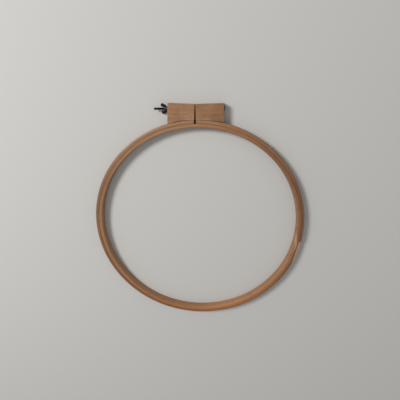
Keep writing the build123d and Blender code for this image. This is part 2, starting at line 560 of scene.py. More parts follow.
def new_group(name: str, inputs: dict[str, object]) -> tuple[NodeTree, bpy.types.NodeOutputs]:
    """Starts a node group that is given a place and some numbers.

    Args:
        name: the group's name.
        inputs: each number's name and usual value.

    Returns:
        The builder of its tree, and what it is given.
    """
    group = bpy.data.node_groups.new(name, "ShaderNodeTree")
    group.interface.new_socket("Place", in_out="INPUT", socket_type="NodeSocketVector")
    for label, value in inputs.items():
        group.interface.new_socket(label, in_out="INPUT", socket_type="NodeSocketFloat").default_value = value
    nodes = NodeTree(group)
    return nodes, nodes.add("NodeGroupInput").outputs


def grain_group() -> Tree:
    """Wood grain from a place in the wood in millimetres, its first part along the grain and away from the pith.

    Streaks are the yearly layers round the pith: noise over the distance from it, drawn out along the grain and round
    it. Fibres are noise drawn out much finer, and flecks the dark peaks of a shorter noise. The relief adds the
    fibres and takes away the flecks.

    Returns:
        The node group.
    """
    nodes, given = new_group("wood_grain", {"Fleck Cover": 0.3})
    place = given["Place"]
    parts = nodes.add("ShaderNodeSeparateXYZ", {0: place}).outputs
    round_pith = nodes.stretched(place, (0.0, 1.0, 1.0))
    from_pith = nodes.add("ShaderNodeVectorMath", {0: round_pith}, operation="LENGTH").outputs["Value"]
    layer = nodes.add("ShaderNodeCombineXYZ", {0: parts[0], 1: from_pith, 2: parts[2]}).outputs[0]
    streak = nodes.noise(nodes.stretched(layer, STREAK_SCALE), detail=4.0, twist=0.35)
    fibre = nodes.span(nodes.noise(nodes.stretched(place, FIBRE_SCALE), detail=3.0), 0.25, 0.75)
    fleck = nodes.noise(nodes.stretched(place, FLECK_SCALE), detail=1.0)
    threshold = nodes.math("SUBTRACT", FLECK_LEVEL, nodes.times(given["Fleck Cover"], 0.3))
    fleck = nodes.span(nodes.math("SUBTRACT", fleck, threshold), 0.0, 0.08)
    relief = nodes.math("SUBTRACT", nodes.times(fibre, 0.5), nodes.times(fleck, 0.6))
    return nodes.give({"Streak": nodes.span(streak, 0.28, 0.72), "Fibre": fibre, "Fleck": fleck, "Relief": relief})


def wear_group() -> Tree:
    """Broken-up wear along the edges: the edge mask plus noise, raised over a threshold.

    Returns:
        The node group.
    """
    nodes, given = new_group("edge_wear", {"Edge": 0.0, "Amount": 0.5, "Scale": 300.0})
    rough = nodes.span(nodes.noise(nodes.scaled(given["Place"], given["Scale"]), detail=4.0), 0.3, 0.7)
    raised = nodes.times(given["Edge"], nodes.total(rough, given["Amount"]))
    return nodes.give({"Worn": nodes.times(nodes.span(raised, 0.35, 1.05), given["Amount"])})


def mottle_group() -> Tree:
    """Uneven sheen: broad patches and fine speckle, both about 0, as handling and finish leave them.

    Returns:
        The node group.
    """
    nodes, given = new_group("mottle", {"Scale": 60.0})
    place = nodes.scaled(given["Place"], given["Scale"])
    patch = nodes.math("SUBTRACT", nodes.noise(place, detail=3.0), 0.5)
    speckle = nodes.math("SUBTRACT", nodes.noise(nodes.stretched(place, SPECKLE_SCALE), detail=2.0), 0.5)
    return nodes.give({"Patch": patch, "Speckle": speckle})


@dataclass(frozen=True)
class Effects:
    """The node groups that the finishes share."""

    grain: Tree
    wear: Tree
    mottle: Tree


def new_material(name: str) -> tuple[Material, NodeTree]:
    """Starts a material with an empty tree.

    Args:
        name: the material's name.

    Returns:
        The material and the builder of its tree.
    """
    material = bpy.data.materials.new(name)
    material.use_nodes = True
    material.node_tree.nodes.clear()
    return material, NodeTree(material.node_tree)


@dataclass(frozen=True)
class WoodFinish:
    """Hardwood under a thin satin finish, with deeper streaks, and bare raw wood at scars and worn edges.

    Attributes:
        offset: how far the piece was cut from the tree's pith, in millimetres.
        warm: what the colour is multiplied by where it has a warmer tint, and where painted shade is laid in the
            crease between the rings.
        patch_share: how much broad patches lighten and darken.
        fleck_tint: what the deep colour is multiplied by in a fleck.
        fibre_tint: what the raw colour is multiplied by along a fibre.
        relief_depth: the depth of the grain, in metres.
    """

    name: str
    offset: Colour
    light: Colour
    deep: Colour
    raw: Colour = (0.47, 0.275, 0.15)
    # The joint colour marks real joints and knots, and is also painted as shadow into gaps and hollows.
    joint: Colour = (0.06, 0.03, 0.015)
    warm: Colour = (1.06, 0.84, 0.58)
    fleck_cover: float = 0.3
    patch_share: float = 0.5
    streak_share: float = 0.45
    fibre_share: float = 0.22
    fleck_share: float = 0.4
    wear_amount: float = 0.4
    fleck_tint: float = 0.55
    fibre_tint: float = 0.7
    roughness: float = 0.42
    relief_depth: float = 0.00012
    ior: float = 1.46

    def material(self, effects: Effects) -> Material:
        """Builds the finish as a material.

        Args:
            effects: the shared node groups.

        Returns:
            The material.
        """
        material, nodes = new_material(self.name)
        place = nodes.add("ShaderNodeAttribute", attribute_name=GRAIN).outputs["Vector"]
        place = nodes.add("ShaderNodeVectorMath", {0: place, 1: self.offset}, operation="ADD").outputs[0]
        spot = nodes.add("ShaderNodeTexCoord").outputs["Object"]
        grain = nodes.effect(effects.grain, {"Place": place, "Fleck Cover": self.fleck_cover})
        patch = nodes.effect(effects.mottle, {"Place": spot})["Patch"]
        edge, raw = nodes.mask(Mask.EDGE), nodes.mask(Mask.RAW)
        worn = nodes.effect(effects.wear, {"Place": spot, "Edge": edge, "Amount": self.wear_amount})["Worn"]

        fibre = nodes.times(grain["Fibre"], self.fibre_share)
        # The tone mask adds the wood's uneven tone, and painted shade or light where the tables set it.
        darkness = nodes.total(
            nodes.times(grain["Streak"], self.streak_share), fibre, nodes.mask(Mask.TONE),
            nodes.times(patch, self.patch_share),
        )
        colour = nodes.blend(darkness, self.light, self.deep)
        # The warm mask tints the wood warmer in stretches, and lays warm painted shade in the crease between the
        # rings.
        colour = nodes.blend(nodes.mask(Mask.WARM), colour, self.warm, "MULTIPLY")
        dark = tuple(self.fleck_tint * part for part in self.deep)
        colour = nodes.blend(nodes.times(grain["Fleck"], self.fleck_share), colour, dark)
        bare = nodes.blend(fibre, self.raw, tuple(self.fibre_tint * part for part in self.raw))
        # The joint mask lays the joint colour on joints and knots, and as painted shadow in open joints, bolt holes
        # and the bite.
        for share, over in ((nodes.times(worn, 0.5), bare), (raw, bare), (nodes.mask(Mask.JOINT), self.joint)):
            colour = nodes.blend(share, colour, over)
        roughness = nodes.total(
            nodes.times(grain["Fleck"], 0.15), self.roughness, nodes.times(raw, 0.25), nodes.times(patch, 0.18)
        )
        normal = nodes.relief(grain["Relief"], 0.35, self.relief_depth)
        nodes.surface({"Base Color": colour, "Roughness": roughness, "Normal": normal, "IOR": self.ior})
        return material


@dataclass(frozen=True)
class BlackFinish:
    """Blackened steel with a satin lacquer, rubbed to brown along its edges."""

    name: str = "blackened_steel"
    black: Colour = (0.005, 0.0044, 0.0038)
    rubbed: Colour = (0.05, 0.032, 0.021)
    wear_amount: float = 0.45
    wear_scale: float = 900.0
    mottle_scale: float = 350.0
    roughness: float = 0.4
    relief_depth: float = 0.00008
    gloss: float = 0.2

    def material(self, effects: Effects) -> Material:
        """Builds the finish as a material.

        Args:
            effects: the shared node groups.

        Returns:
            The material.
        """
        material, nodes = new_material(self.name)
        spot = nodes.add("ShaderNodeTexCoord").outputs["Object"]
        wear = {"Place": spot, "Edge": nodes.mask(Mask.EDGE), "Amount": self.wear_amount, "Scale": self.wear_scale}
        mottle = nodes.effect(effects.mottle, {"Place": spot, "Scale": self.mottle_scale})
        colour = nodes.blend(nodes.effect(effects.wear, wear)["Worn"], self.black, self.rubbed)
        rough = nodes.total(nodes.times(mottle["Patch"], 0.25), self.roughness)
        normal = nodes.relief(mottle["Speckle"], 0.25, self.relief_depth)
        nodes.surface({"Base Color": colour, "Roughness": rough, "Normal": normal, "Specular IOR Level": self.gloss})
        return material


@dataclass(frozen=True)
class NailFinish:
    """Dull bare steel."""

    name: str = "dull_steel"
    steel: Colour = (0.42, 0.41, 0.39)
    dark: Colour = (0.16, 0.13, 0.11)
    mottle_scale: float = 500.0

    def material(self, effects: Effects) -> Material:
        """Builds the finish as a material.

        Args:
            effects: the shared node groups.

        Returns:
            The material.
        """
        material, nodes = new_material(self.name)
        spot = nodes.add("ShaderNodeTexCoord").outputs["Object"]
        mottle = nodes.effect(effects.mottle, {"Place": spot, "Scale": self.mottle_scale})
        share = nodes.span(mottle["Patch"], -0.15, 0.25)
        colour = nodes.blend(share, self.steel, self.dark)
        nodes.surface({"Base Color": colour, "Roughness": nodes.span(share, 0.0, 1.0, 0.35, 0.7), "Metallic": 1.0})
        return material


def add_object(name: str, data: bpy.types.ID) -> bpy.types.Object:
    """Adds an object to the scene.

    Args:
        name: its name.
        data: its mesh, lamp or camera.

    Returns:
        The object.
    """
    item = bpy.data.objects.new(name, data)
    bpy.context.scene.collection.objects.link(item)
    return item


@dataclass
class Piece:
    """A piece of the hoop, which stands in the place of one node of the frame."""

    sizes: HoopSizes
    node: str = field(init=False, default="")
    body: ClassVar[Body] = Body.OUTER
    slot: ClassVar[Slot] = Slot.BLACK

    @property
    def name(self) -> str:
        """The piece's name, from its node's and what it is made of."""
        return f"{self.node}_{'black' if self.slot is Slot.BLACK else 'wood'}"

    def skin(self) -> Skin:
        """The piece's skin, which each kind of piece shapes in its own way."""
        raise NotImplementedError

    def mesh(self) -> Mesh:
        """The piece's mesh, in place."""
        return self.skin().mesh(self.name)

    def build(self, material: Material) -> None:
        """Makes the piece and puts it in its node's place.

        Args:
            material: its material.
        """
        mesh = self.mesh()
        piece = add_object(self.name, mesh)
        mesh.materials.append(material)
        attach(piece, self.body.value)
        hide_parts(self.node)
        log.info("%s: %d vertices, %d faces, for %s", self.name, len(mesh.vertices), len(mesh.polygons), self.node)


@dataclass
class BentRing(Piece):
    """A ring of bent wood. In its section x is the radius and y the height.

    Attributes:
        rim_round: the rounding of the rims away from the other ring.
        mating_round: the rounding of the corners beside the other ring.
        sag: how far the faces sink at most under the true ring.
        flat_from: the shares of half the thickness and of half the depth from which a point is on a flat side.
        uneven_tone: how far its tone wanders.
        tones: where it is darker, or lighter where the amount is below 0: the wood's own tone, and in some stretches
            painted shade or light.
        warms: where its tint is warmer.
        groove_warmth: how much warmer and darker it is beside the other ring, as painted shade in the crease between
            them.
        groove_span: how far from that side the warmth begins, and where it is full.
    """

    rim_round: float = 2.2
    mating_round: float = 0.6
    row_spacing: float = 2.2
    sag: float = 0.12
    flat_from: Pair = (0.75, 0.9)
    uneven_tone: float = 0.2
    tones: tuple[Stretch, ...] = ()
    warms: tuple[Stretch, ...] = ()
    groove_warmth: float = 0.4
    groove_span: Pair = (2.2, 0.5)

    @property
    def radii(self) -> Pair:
        """The ring's inner and outer radius."""
        raise NotImplementedError

    @property
    def middle(self) -> float:
        """The radius at the middle of the strip."""
        return sum(self.radii) / 2

    @property
    def half(self) -> float:
        """Half the strip's thickness."""
        return (self.radii[1] - self.radii[0]) / 2

    def _outline(self, inner: float, outer: float, spacing: float, inner_wall: Array, outer_wall: Array) -> Outline:
        """The ring's section.

        Args:
            inner: the rounding of the inner corners.
            outer: the rounding of the outer corners.
            spacing: about how far apart the points on its faces are.
            inner_wall: the shares at which the inner wall has points.
            outer_wall: the shares at which the outer wall has points.

        Returns:
            The section's outline.
        """
        low, high = self.radii
        face = side_shares(high - low - self.rim_round - self.mating_round, spacing)
        corners = (low, -self.sizes.depth / 2), (high, self.sizes.depth / 2)
        return rounded_outline(*corners, (inner, outer, outer, inner), (face, outer_wall, face, inner_wall))

    def _sink(self, radius: Array, height: Array, sunk: Array) -> tuple[Array, Array]:
        """Sinks the flat sides of the section towards its middle.

        Args:
            radius: the points' radii.
            height: the points' heights.
            sunk: how far each is to sink.

        Returns:
            The new radii and heights.
        """
        inward = (self.middle - radius) / self.half, -height / (self.sizes.depth / 2)
        flat = [np.abs(part) > least for part, least in zip(inward, self.flat_from, strict=True)]
        return radius + sunk * inward[0] * flat[0], height + sunk * inward[1] * flat[1]


@dataclass
class InnerRing(BentRing):
    """The bent strip that the cloth is laid over, closed by a slanting scarf joint.

    Attributes:
        joint_slant: how far the joint's line leads on either side, along the ring.
        joint_blend: how far round the ring the sections lean with the joint, as an angle.
        joint_near: where there are more sections, counted from the joint.
        joint_shade: how dark the joint's line is.
        face_span: how far under the front face its wood's tone begins, and where it is full.
        pale_length: how far along the ring the wood beside the joint was sanded bare.
        pale_share: how bare it is.
    """

    node: str = field(init=False, default="inner_ring")
    body: ClassVar[Body] = Body.INNER
    slot: ClassVar[Slot] = Slot.INNER_WOOD

    # Some of these tones are painted light: the darker stretch at 34° is partly the shade on the ring's right side,
    # and the lighter walls round 200° paint light on the walls that face away from the lamp.
    tones: tuple[Stretch, ...] = (
        Stretch(34, 72, 0.52), Stretch(148, 48, 0.2), Stretch(286, 26, -0.28), Stretch(240, 36, 0.22, walls=0),
        Stretch(45, 17, 0.2, walls=0), Stretch(200, 70, -0.35, face=0),
    )
    warms: tuple[Stretch, ...] = (Stretch(285, 105, 0.7, walls=0.3),)
    uneven_tone: float = 0.16
    groove_warmth: float = 0.45
    groove_span: Pair = (1.9, 0.4)
    face_span: Pair = (3.0, 1.2)
    joint_angle: float = radians(-6.4)
    joint_slant: float = 14.3
    joint_blend: float = 0.4
    joint_depth: float = 0.15
    joint_near: tuple[float, ...] = (0, 0.12, 0.25, 0.4, 0.6, 0.9, 1.4)
    joint_shade: float = 0.75
    pale_length: float = 21.0
    pale_blur: float = 1.5
    pale_share: float = 0.6

    @property
    def radii(self) -> Pair:
        """The ring's inner and outer radius."""
        return self.sizes.inner_low, self.sizes.inner_high

    def _stations(self) -> Array:
        """Spreads the sections round the ring, closer together at the joint.

        Returns:
            The angle of each from the joint, from 0 up to a full turn.
        """
        length, near = TURN * self.middle, np.array(self.joint_near)
        even = np.arange(0, length, self.row_spacing)
        stations = np.concatenate([even, near, length - near[1:], length - self.pale_length + near])
        return spaced(stations, 0.05) / self.middle

    def skin(self) -> Skin:
        """Carries the section round the ring.

        A point is (r cos a, r sin a, z) with r and z from the section. The angle a is the station's plus a lean,
        which is the slant times the section's own place across the strip and fades away from the joint.

        Returns:
            The ring's skin.
        """
        depth, middle = self.sizes.depth, self.middle
        inner_wall = side_shares(depth - 2 * self.rim_round, 1.5)
        outer_wall = side_shares(depth - 2 * self.mating_round, 2.2)
        outline = self._outline(self.rim_round, self.mating_round, 0.8, inner_wall, outer_wall)
        radius, height = outline.points.T
        station = self._stations()[:, None]
        from_joint = np.minimum(station, TURN - station)
        slant = -self.joint_slant / middle * smooth_step(from_joint, self.joint_blend, 0)
        lean = slant * (radius - middle) / self.half
        angle = self.joint_angle + station + lean
        sunk = self.sag * unevenness(station, outline.around, (3, 5, 8, 13), seed=11)
        sunk = sunk + self.joint_depth * smooth_step(from_joint * middle, 0.35, 0)
        radius, height = self._sink(radius, height, sunk)

        pale = smooth_step((TURN - station) * middle - self.pale_length, self.pale_blur, -self.pale_blur)
        face = smooth_step(depth / 2 - height, *self.face_span)
        # Painted shade in the crease beside the outer ring, as a warmer, darker tint.
        groove = smooth_step(self.radii[1] - radius, *self.groove_span)
        uneven = self.uneven_tone * unevenness(angle, outline.around, (1, 2, 4, 7), seed=12) - self.uneven_tone / 2
        masks = {
            Mask.EDGE: outline.edge + 0 * angle,
            Mask.TONE: sum(tone.at(angle, face) for tone in self.tones) + uneven,
            Mask.RAW: self.pale_share * pale * smooth_step(height, 0, depth / 2),
            Mask.JOINT: self.joint_shade * smooth_step(from_joint * middle, 0.4, 0.15) + 0 * radius,
            Mask.WARM: sum(warm.at(angle, face) for warm in self.warms) + self.groove_warmth * groove,
        }
        points = np.stack([radius * np.cos(angle), radius * np.sin(angle), height], 2)
        grain = np.stack(np.broadcast_arrays(station * middle, radius, height), 2)
        return Skin(points, grain, masks, rows_close=True, grain_round=TURN * middle)


@dataclass
class OuterRing(BentRing):
    """The split strip that is drawn tight round the inner ring. A splinter is lost from its front rim.

    Attributes:
        end_sizes: how large the sections are that close each face of the split, beside the whole one.
        hole_near: where there are more sections and points, counted from a nail.
        loss_angle: where the splinter's thick end was.
        loss_near: where there are more sections, counted from there.
        loss_lip: how deep it is at least, along its inner edge.
        bite_depth: how much deeper it bit at its thick end.
        bite_rim: how far inside the rim the bite begins, and where it is full.
        stain_spread: how much further in the bite's painted shadow reaches.
        hole_shade: how dark the nails' holes are, and stain_shade how dark the shadow painted in the bite is.
    """

    node: str = field(init=False, default="outer_ring")
    slot: ClassVar[Slot] = Slot.OUTER_WOOD

    # The darker stretch at 14° is partly painted shade on the ring's right side, and partly the wood's tone.
    tones: tuple[Stretch, ...] = (
        Stretch(14, 72, 0.48), Stretch(112, 60, -0.42), Stretch(210, 60, 0.18), Stretch(290, 36, -0.2),
        Stretch(80, 34, -0.25),
    )
    warms: tuple[Stretch, ...] = (Stretch(274, 96, 0.9), Stretch(30, 70, 0.2), Stretch(80, 34, 0.28))
    end_round: float = 0.35
    end_sizes: tuple[float, ...] = (0.15, 0.4, 0.65, 0.85, 0.96)
    hole_depth: float = 0.8
    hole_near: tuple[float, ...] = (0, 0.3, 0.6, 0.8, 0.9, 0.96, 1.02, 1.1, 1.3, 1.8)
    loss_angle: float = radians(351.6)
    loss_near: tuple[float, ...] = (-2.5, -1.6, -1.0, -0.5, 0, 0.4, 0.8, 1.2, 1.6)
    loss_length: float = 68.0
    loss_width: float = 5.6
    loss_depth: float = 2.9
    loss_lip: float = 0.1
    bite_depth: float = 1.6
    bite_reach: float = 3.4
    bite_rim: Pair = (2.95, 1.15)
    stain_spread: float = 0.6
    hole_shade: float = 0.6
    stain_shade: float = 0.8

    @property
    def radii(self) -> Pair:
        """The ring's inner and outer radius."""
        return self.sizes.outer_low, self.sizes.outer_high

    def _section(self) -> Outline:
        """Shapes the ring's section, with more points on its inner wall beside the nails, at half its height.

        Returns:
            The section's outline.
        """
        length = self.sizes.depth - 2 * self.mating_round
        far = np.array([0.2, 2.0, 4.0, 5.6]) / length
        inner_wall = np.unique(0.5 + both_ways(self.hole_near, 0) / length)
        inner_wall = np.concatenate([far, inner_wall, 1 - far[::-1]])
        outer_wall = side_shares(self.sizes.depth - 2 * self.rim_round, 1.3)
        return self._outline(self.mating_round, self.rim_round, 0.7, inner_wall, outer_wall)

    def _end_angle(self, side: Side, radius: Array | float) -> Array:
        """The angle at which a circle of each radius meets one face of the split.

        Args:
            side: which face.
            radius: the circles' radii.

        Returns:
            The angles.
        """
        x = self.sizes.split_edge(side)
        edge, upward = np.array([x, self.sizes.on_outer_ring(x)]), self.sizes.upward(side)
        point = edge + reach_of_line(edge, upward, radius)[..., None] * upward
        return np.arctan2(point[..., 1], point[..., 0])

    def _nail_angles(self, start: float) -> Array:
        """The angles of the four nails, counted on from the left face of the split."""
        angles = np.array([self.sizes.nail_angle(side, share) for side in Side for share in self.sizes.nail_shares])
        return np.where(angles > start, angles, angles + TURN)

    def _rows(self, start: float, end: float) -> tuple[Array, Array]:
        """The rows of the skin, from the middle of the left face of the split round to that of the right.

        Args:
            start: the angle of the left face, at the inner wall.
            end: the angle of the right face.

        Returns:
            The share of the way round of each row, and how large its section is beside the whole one.
        """
        radius = self.sizes.outer_low
        length = (end - start) * radius
        even = np.arange(self.row_spacing, length - self.row_spacing, self.row_spacing)
        nails = ((self._nail_angles(start) - start)[:, None] * radius + both_ways(self.hole_near, 0)).ravel()
        loss = (self.loss_angle - start) * radius + np.array(self.loss_near)
        edge = np.append(ease_stations(self.end_round), [self.end_round + 0.2, 1.0])
        stations = spaced(np.concatenate([even, nails, loss, both_ways(edge, length)]), 0.02)
        shrink = np.array(self.end_sizes)
        share = np.concatenate([0 * shrink, stations / length, 0 * shrink + 1])
        return share[:, None], np.concatenate([shrink, np.ones(len(stations)), shrink[::-1]])[:, None]

    def _loss(self, angle: Array, radius: Array, height: Array) -> tuple[Array, Array, Array]:
        """The lost splinter: a sloping floor under the front rim, deepest at its thick end and running out behind.

        Args:
            angle: the points' angles round the ring.
            radius: their radii.
            height: their heights.

        Returns:
            How high each point may be, how bare its wood is, and how much painted shadow it has in the bite.
        """
        top, rim = self.sizes.depth / 2, self.sizes.outer_high
        before = (self.loss_angle - angle) * rim
        tail = np.clip(before / self.loss_length, 0, 1)
        taken = smooth_step(before, -1.2, 0.4) * (1 - tail) ** 0.7
        inner_edge = rim - self.loss_width * (1 - tail**2)
        slope = np.clip((radius - inner_edge) / (rim - inner_edge + 0.01), 0, 1)
        begins, full = self.bite_rim
        bite = self.bite_depth * bump(before, 1.0, self.bite_reach) * smooth_step(radius, rim - begins, rim - full)
        deep = (self.loss_lip + self.loss_depth * slope) * taken + bite
        floor = np.where((slope > 0) & (taken > 0), top - deep, top)
        # Painted shadow in the bite at the splinter's thick end, laid on in the dark joint colour.
        stain = bump(before - 0.4, 0, self.bite_reach) * smooth_step(rim - self.stain_spread - radius, begins, full)
        return floor, smooth_step(height - floor, 0, 0.12), self.stain_shade * stain * (height > 4)

    def skin(self) -> Skin:
        """Carries the section round the ring, from one leaning face of the split to the other.

        A point is (r cos a, r sin a, z). The angle a runs from the left face to the right one in even shares at each
        radius. The section draws in at the two ends by the easing of a rounded edge, and closes over each face.

        Returns:
            The ring's skin.
        """
        sizes, middle, low = self.sizes, self.middle, self.sizes.outer_low
        outline = self._section()
        start = float(self._end_angle(Side.LEFT, low))
        end = float(self._end_angle(Side.RIGHT, low)) + TURN
        share, size = self._rows(start, end)
        inset = eased(np.minimum(share, 1 - share) * (end - start) * middle, self.end_round)
        radius = middle + (outline.points[:, 0] - middle) * (1 - inset / self.half) * size
        height = outline.points[:, 1] * (1 - inset / (sizes.depth / 2)) * size
        first = self._end_angle(Side.LEFT, radius)
        angle = first + (self._end_angle(Side.RIGHT, radius) + TURN - first) * share
        whole = size == 1

        floor, lost, stain = self._loss(angle, radius, height)
        nail = np.abs(angle[..., None] - self._nail_angles(start)).min(-1) * radius
        hole = smooth_step(np.hypot(nail, height), sizes.nail_radius + 0.14, sizes.nail_radius + 0.04)
        hole = hole * (radius < low + 0.05) * whole
        sunk = self.sag * unevenness(angle, outline.around, (3, 4, 7, 12), seed=21) * whole
        radius, height = self._sink(radius, height, sunk)
        radius, height = radius + self.hole_depth * hole, np.minimum(height, floor)

        uneven = self.uneven_tone * unevenness(angle, outline.around, (2, 3, 5, 8), seed=22)
        # Painted shade in the crease beside the inner ring, as a warmer, darker tint.
        groove = smooth_step(radius - low, *self.groove_span)
        masks = {
            Mask.EDGE: (outline.edge + 0 * angle) * whole,
            Mask.TONE: sum(tone.at(angle, 1) for tone in self.tones) + uneven + 0.1 * ~whole,
            Mask.RAW: lost,
            Mask.JOINT: np.maximum(self.hole_shade * hole, stain),
            Mask.WARM: np.minimum(sum(warm.at(angle, 1) for warm in self.warms) + self.groove_warmth * groove, 1),
        }
        points = np.stack([radius * np.cos(angle), radius * np.sin(angle), height], 2)
        return Skin(points, np.stack([angle * middle, radius, height], 2), masks)


@dataclass
class ClampBlock(Piece):
    """A block on one end of the outer ring, cut to the ring's curve and bored for the bolt.

    Attributes:
        open_joint: where along the block its dark joint with the ring is darkest, as a glue line with painted shadow
            where it stands open, and how far that reaches.
        knots: the pin knots in its front face, each its place along and up the block and its radius.
        dark_end: how much darker its wood is towards its outer end, over dark_length.
        pale_edge: how far up from the saddle the edge's wood is palest, and how pale it is.
        joint_shade: how dark the joint is, knot_shade a knot, and hole_shade and hole_tone the shade painted in the
            bolt's hole; the latter also darkens the end faces.
        face_shares: where its end faces have rows, as shares of the way from the hole to the rim.
    """

    slot: ClassVar[Slot] = Slot.BLOCK_WOOD

    side: Side
    top_round: float = 0.9
    saddle_round: float = 0.3
    end_round: float = 0.6
    row_spacing: float = 1.6
    neck_half: float = 2.475
    neck_depth: float = 2.65
    open_joint: Pair = (50.0, 30.0)
    knots: tuple[tuple[float, float, float], ...] = ()
    dark_end: float = 0.3
    dark_length: float = 32.0
    pale_edge: Pair = (1.9, 0.35)
    joint_shade: float = 0.9
    knot_shade: float = 0.32
    hole_shade: float = 0.35
    hole_tone: float = 0.22
    face_shares: tuple[float, ...] = (0, 0.05, 0.25, 0.5, 0.75, 0.95)

    def __post_init__(self) -> None:
        """Reads the block's own sizes."""
        self.node = f"{self.side.name.lower()}_block"
        self.length = self.sizes.block_length(self.side)
        self.foot, self.lean = self.sizes.foot(self.side), self.sizes.lean(self.side)
        self.along, self.upward = self.sizes.along(self.side), self.sizes.upward(self.side)

    def _on_end(self, along: float, y: Array) -> Array:
        """The side place, at each height y, of the leaning face at a place along the block."""
        return self.foot[0] + self.side.value * (along - (y - self.foot[1]) * sin(self.lean)) / cos(self.lean)

    def _saddle(self, along: Array) -> Array:
        """How far up the block its saddle lies, at each place along it."""
        base = self.foot + along[..., None] * self.along
        return reach_of_line(base, self.upward, self.sizes.outer_high + self.sizes.glue_line)

    def _sections(self, along: Array) -> tuple[Array, Outline]:
        """The block's sections at given places along it, drawn in towards both ends.

        Args:
            along: the places, a column of numbers.

        Returns:
            The points, rows by columns by 3, and the outline that they follow.
        """
        height, half = self.sizes.block_height, self.sizes.depth / 2
        rounds = (self.saddle_round, self.top_round, self.top_round, self.saddle_round)
        wide = side_shares(2 * half - 2 * self.saddle_round, 1.2)
        tall = side_shares(height - self.saddle_round - self.top_round, 1.6)
        outline = rounded_outline((0, -half), (height, half), rounds, (tall, wide, tall, wide))
        up, across = outline.points.T
        margin = max(rounds)
        share = np.clip((up - margin) / (height - 2 * margin), 0, 1)
        saddle = self._saddle(along)
        up = saddle + share * (height - saddle) + (up - share * height)
        inset = eased(np.minimum(along, self.length - along), self.end_round)
        middle = (saddle + height) / 2
        up = middle + (up - middle) * (1 - inset / (height - middle))
        flat = self.foot + along[..., None] * self.along + up[..., None] * self.upward
        return np.concatenate([flat, (across * (1 - inset / half))[..., None]], -1), outline

    def _face_masks(self, grain: Array) -> tuple[Array, Array]:
        """The bare and the darkened places on the block's skin: the saddle's pale edge, the glue line and painted
        shadow of the open joint, and the knots.

        Args:
            grain: each point's place along, up and across the block.

        Returns:
            How bare and how dark each point is.
        """
        along, up, across = np.moveaxis(grain, -1, 0)
        over = up - self._saddle(along)
        face = smooth_step(np.abs(across), self.sizes.depth / 2 - 0.8, self.sizes.depth / 2 - 0.3)
        palest, pale = self.pale_edge
        bare = pale * bump(over, palest, palest) * smooth_step(along, 36, 20) * face
        # A dark glue line along the saddle, with painted shadow where the joint stands open.
        dark = self.joint_shade * bump(along, *self.open_joint) ** 0.6 * smooth_step(over, 1.6, 0.6) * face
        for knot_along, knot_up, radius in self.knots:
            away = np.hypot(along - knot_along, up - knot_up)
            dark = np.maximum(dark, self.knot_shade * bump(away, 0, radius) * (across > 0))
        return bare, dark

    def _end_face(self, rim: Array, along: float, radius: float) -> tuple[Array, Array]:
        """The rows of a face between a circle about the bolt and its rim, and each column's angle about the bolt.

        A point lies on the straight line from its place on the circle to its place on the rim, seen along the bolt,
        and its X is that of the leaning face.

        Args:
            rim: the face's rim, columns by 3.
            along: how far the face is along the block.
            radius: the circle's radius.

        Returns:
            The rows from the circle to the rim, and the angles.
        """
        turn = np.arctan2(rim[:, 2], rim[:, 1] - self.sizes.bolt_y)
        circle = self.sizes.round_bolt(0.0, radius, turn)
        share = np.array(self.face_shares)[:, None, None]
        rows = circle + share * (rim - circle)
        rows[..., 0] = self._on_end(along, rows[..., 1])
        return rows, turn

    def _bore(self, turn: Array) -> Array:
        """The rows of the bolt's hole, from its seat in the outer end to the split face.

        Args:
            turn: each column's angle about the bolt.

        Returns:
            The points, rows by columns by 3.
        """
        sizes, inward = self.sizes, -self.side.value
        hole, seat, seat_x = sizes.bolt_hole_radius, sizes.seat_radius(self.side), sizes.seat_x(self.side)
        square = np.minimum(square_radius(self.neck_half, turn), hole + 0.3)
        neck = np.maximum(hole, square) if self.side is Side.RIGHT else np.full(len(turn), hole)
        rim_x = self._on_end(self.length, sizes.bolt_y + seat * np.cos(turn))
        neck_end = seat_x + inward * self.neck_depth
        split_x = self._on_end(0.0, sizes.bolt_y + hole * np.cos(turn))
        rows = [
            (rim_x + inward * 0.15, seat), (seat_x, seat), (seat_x, 0.5 * (seat + neck)), (seat_x, neck + 0.1),
            (seat_x + inward * 0.1, neck), (neck_end, neck), (neck_end + inward * 0.05, hole),
        ]
        rows += [(neck_end + (split_x - neck_end) * share, hole) for share in (0.1, 0.5, 0.9)]
        rows += [(split_x - inward * 0.2, hole), (split_x, hole + 0.15)]
        return np.stack([sizes.round_bolt(x, radius, turn) for x, radius in rows])

    def skin(self) -> Skin:
        """Closes the block round its bolt hole, as one sheet that runs out over the skin and back through the hole.

        Returns:
            The block's skin.
        """
        sizes, length, ease = self.sizes, self.length, self.end_round
        edge = ease_stations(ease)
        even = np.arange(ease + 0.3, length - ease - 0.3, self.row_spacing)
        along = np.concatenate([edge, even, length - edge[::-1]])[:, None]
        outer, outline = self._sections(along)
        split_face, turn = self._end_face(outer[0], 0.0, sizes.bolt_hole_radius + 0.3)
        end_face, _ = self._end_face(outer[-1], length, sizes.seat_radius(self.side) + 0.15)
        points = np.concatenate([outer, end_face[::-1], self._bore(turn), split_face])

        base = points[..., :2] - self.foot
        grain = np.stack([base @ self.along, base @ self.upward, points[..., 2]], 2)
        worn, inside = np.zeros((2, *points.shape[:2]))
        inset = eased(np.minimum(along, length - along), ease) / ease
        worn[: len(outer)] = np.maximum(outline.edge, np.sin(pi * np.clip(inset, 0, 1)) ** 0.5)
        # Painted shade in the bolt's hole: the joint colour on its wall, and a darker tone on the hole rows that also
        # darkens the end faces.
        inside[len(outer) + len(end_face): -len(split_face)] = self.hole_shade
        tone = self.dark_end * smooth_step(grain[..., 0], length - self.dark_length, length)
        tone[len(outer):] += self.hole_tone
        bare, dark = self._face_masks(grain)
        bare[len(outer):] = 0
        masks = {Mask.EDGE: worn, Mask.TONE: tone, Mask.RAW: bare, Mask.JOINT: np.maximum(inside, dark)}
        return Skin(points, grain, masks, rows_close=True)


